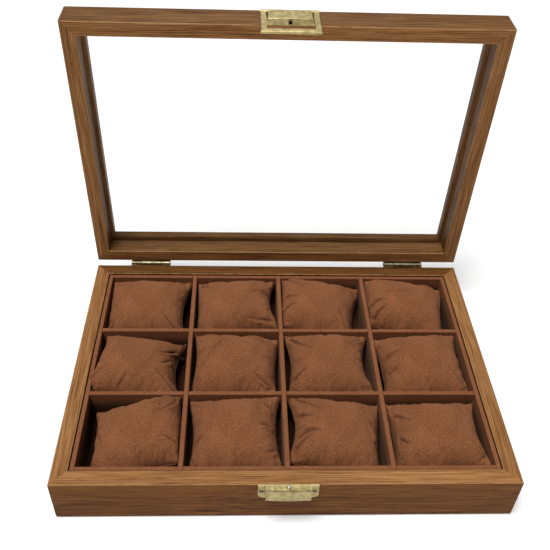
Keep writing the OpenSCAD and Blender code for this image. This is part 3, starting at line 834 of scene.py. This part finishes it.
def fold_height(place, folds):
    """Height of the folds at each place in metres, and the painted shade of their valleys."""
    spot = place * np.array(PANEL)
    height, dark = np.zeros(len(spot)), np.zeros(len(spot))
    for x0, y0, x1, y1, bow, deep in folds:
        start = np.array((x0, y0)) / 100 * np.array(PANEL)
        line = np.array((x1, y1)) / 100 * np.array(PANEL) - start
        length = np.linalg.norm(line)
        way = line / length
        along = (spot - start) @ way / length
        inside = (along > 0) & (along < 1)
        share = np.clip(along, 0, 1)
        arch = bow * MM * 4 * share * (1 - share)
        across = (spot - start) @ np.array((-way[1], way[0])) - arch
        fade = np.minimum(1, share * 5) * (1 - share) ** 0.7
        valley = np.exp(-np.abs(across) / VALLEY_WIDTH)
        lip = np.exp(-((across - LIP_AWAY) / LIP_WIDTH) ** 2)
        height += np.where(inside, FOLD_GAIN * deep * MM * fade * (0.7 * lip - valley), 0)
        # Painted shade: the valley of each fold is marked for darkening, more for deeper
        # folds.
        dark += np.where(inside, min(1, 0.5 + 0.3 * deep) * fade ** 0.6 * valley, 0)
    return height, np.clip(dark, 0, 1)


def wrinkle(obj, name):
    """Presses the folds and small wrinkles into a cushion."""
    mesh = fine_mesh(obj)
    place, top = panel_places(mesh)
    hump = np.prod(np.sin(np.pi * np.clip(place, 0, 1)), axis=1)
    height, dark = fold_height(place, LIES[name]["folds"])
    random.seed(name)
    shift = Vector([random.uniform(-50, 50) for _ in range(3)])
    small = [noise.noise(Vector((s * 14, t * 12, 0)) + shift) for s, t in place]
    fine = [noise.noise(Vector((s * 34, t * 9, 5)) + shift) for s, t in place]
    near_seam = np.exp(-hump / 0.25)
    height += SMALL_WRINKLE * np.array(small) + SEAM_WRINKLE * near_seam * np.array(fine)
    height *= np.minimum(1, hump * 9) * np.where(top, 1, 0.4)
    # Painted shade: a stored value darkens the fold valleys on top and the whole underside.
    painted_crease_shade = mesh.attributes.new("painted_crease_shade", "FLOAT", "POINT")
    painted_crease_shade.data.foreach_set("value", np.where(top, VALLEY_PAINTED_SHADE * dark, UNDERSIDE_PAINTED_SHADE))
    points = np.empty(len(mesh.vertices) * 3)
    normals = np.empty(len(mesh.vertices) * 3)
    mesh.vertices.foreach_get("co", points)
    mesh.vertices.foreach_get("normal", normals)
    moved = points.reshape(-1, 3) + normals.reshape(-1, 3) * height[:, None]
    mesh.vertices.foreach_set("co", keep_in_cell(moved, *cell_of(name)).ravel())
    mesh.update()


rims = {}
for name in LIES:
    cushion, rim = sewn_cushion(name)
    wrinkle(cushion, name)
    rims[name] = [cushion.data.vertices[k].co.copy() for k in rim]
    cushion.data.materials.append(cushion_suede)
    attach(cushion, frame["nodes"][name]["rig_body"])
    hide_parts(name)
    tallest = max(v.co.z for v in cushion.data.vertices)
    print(name, "crown at", round(tallest / MM, 1), "mm")


# %% [markdown]
# ## The seam and its stitches
#
# Both panels of a cushion meet in a seam that runs all the way round: a thin
# rolled edge with a stitch every three millimetres. Placing over nine hundred
# stitches by hand is out of the question, so Geometry Nodes do it. The rim of
# the cushion is turned into a curve; a small circle swept along it makes the
# rolled edge, and a stitch is set on the curve at every step, lying along it.

# %% A node tree for the seam
SEAM_SIZES = {
    "Edge radius": 0.32 * MM,
    "Stitch pitch": 3.0 * MM,
    "Stitch length": 2.1 * MM,
    "Stitch radius": 0.20 * MM,
}


def seam_tree():
    """Rolled edge and stitches along a closed loop of edges."""
    tree = bpy.data.node_groups.new("sewn_seam", "GeometryNodeTree")
    sockets = tree.interface
    sockets.new_socket("Rim", in_out="INPUT", socket_type="NodeSocketGeometry")
    kinds = {**dict.fromkeys(SEAM_SIZES, "Float"), "Seed": "Int", "Finish": "Material"}
    for label, kind in kinds.items():
        sockets.new_socket(label, in_out="INPUT", socket_type="NodeSocket" + kind)
    sockets.new_socket("Seam", in_out="OUTPUT", socket_type="NodeSocketGeometry")

    def add(kind, inputs=(), **choices):
        node = tree.nodes.new(kind)
        for key, value in choices.items():
            setattr(node, key, value)
        for key, value in dict(inputs).items():
            if isinstance(value, bpy.types.NodeSocket):
                tree.links.new(value, node.inputs[key])
            else:
                node.inputs[key].default_value = value
        return node

    given = add("NodeGroupInput").outputs
    rim = add("GeometryNodeMeshToCurve", {"Mesh": given["Rim"]}).outputs["Curve"]
    section = add("GeometryNodeCurvePrimitiveCircle", {
        "Resolution": 8, "Radius": given["Edge radius"]}).outputs["Curve"]
    edge = add("GeometryNodeCurveToMesh", {"Curve": rim, "Profile Curve": section})

    steps = add("GeometryNodeResampleCurve", {
        "Curve": rim, "Length": given["Stitch pitch"]}, mode="LENGTH")
    raised = add("ShaderNodeCombineXYZ", {"Z": given["Edge radius"]})
    laid = add("GeometryNodeSetPosition", {
        "Geometry": steps.outputs[0], "Offset": raised.outputs[0]})
    half = add("ShaderNodeMath", {0: given["Stitch length"], 1: 0.5}, operation="MULTIPLY")
    size = add("ShaderNodeCombineXYZ", {
        "X": half.outputs[0], "Y": given["Stitch radius"],
        "Z": given["Stitch radius"]}).outputs[0]
    bead = add("GeometryNodeMeshUVSphere", {"Segments": 8, "Rings": 5, "Radius": 1.0})
    stitch = add("GeometryNodeTransform", {"Geometry": bead.outputs["Mesh"], "Scale": size})
    way = add("GeometryNodeInputTangent").outputs[0]
    turn = add("FunctionNodeAlignRotationToVector", {"Vector": way}, axis="X").outputs[0]
    uneven = add("FunctionNodeRandomValue", {
        2: 0.85, 3: 1.15, "Seed": given["Seed"]}, data_type="FLOAT")
    stitches = add("GeometryNodeInstanceOnPoints", {
        "Points": laid.outputs[0], "Instance": stitch.outputs[0],
        "Rotation": turn, "Scale": uneven.outputs[1]})
    both = add("GeometryNodeJoinGeometry")
    for part in (stitches.outputs[0], edge.outputs[0]):
        tree.links.new(part, both.inputs[0])
    real = add("GeometryNodeRealizeInstances", {"Geometry": both.outputs[0]})
    smooth = add("GeometryNodeSetShadeSmooth", {0: real.outputs[0]})
    dressed = add("GeometryNodeSetMaterial", {
        "Geometry": smooth.outputs[0], "Material": given["Finish"]})
    output = tree.nodes.new("NodeGroupOutput")
    tree.links.new(dressed.outputs[0], output.inputs["Seam"])
    return tree


sewn_seam = seam_tree()
print("seam tree:", len(sewn_seam.nodes), "nodes")


# %% [markdown]
# ## Sew every cushion
#
# The thread is a shade darker than the cloth and slightly shiny. The rim of a
# finished cushion goes in as a loop of edges, and what comes out is kept as a
# plain mesh, so that it rides with its cushion like any other piece.

# %% Seams
def thread():
    twist = Finish("seam_thread", roughness=0.7, specular_ior_level=0.2)
    where = twist.mapping(twist.place(), turn=(0, 0, 0.7), scale=(1, 0.3, 1))
    strands = twist.cloud(where, 2400.0, 2.0)
    twist.set(
        base_color=twist.ramp(strands, [
            (0.35, (0.085, 0.030, 0.012)), (0.65, (0.230, 0.090, 0.038))]),
        normal=twist.bump(strands, 0.1 * MM, 0.7),
    )
    return twist.material


seam_thread = thread()
socket_of = {
    s.name: s.identifier for s in sewn_seam.interface.items_tree if s.in_out == "INPUT"}


def sew(name, loop, seed):
    """One cushion's seam, as a plain mesh."""
    mesh = bpy.data.meshes.new("seam_" + name)
    edges = [(k, (k + 1) % len(loop)) for k in range(len(loop))]
    mesh.from_pydata([tuple(p) for p in loop], edges, [])
    seam = bpy.data.objects.new("seam_" + name, mesh)
    scene.collection.objects.link(seam)
    nodes = seam.modifiers.new("sewing", "NODES")
    nodes.node_group = sewn_seam
    for label, value in {**SEAM_SIZES, "Seed": seed, "Finish": seam_thread}.items():
        nodes[socket_of[label]] = value
    graph = bpy.context.evaluated_depsgraph_get()
    sewn = bpy.data.meshes.new_from_object(seam.evaluated_get(graph))
    seam.modifiers.clear()
    seam.data = sewn
    return seam


for seed, (name, loop) in enumerate(rims.items()):
    seam = sew(name, loop, seed)
    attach(seam, frame["nodes"][name]["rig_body"])
    print(seam.name, "has", len(seam.data.polygons), "faces")
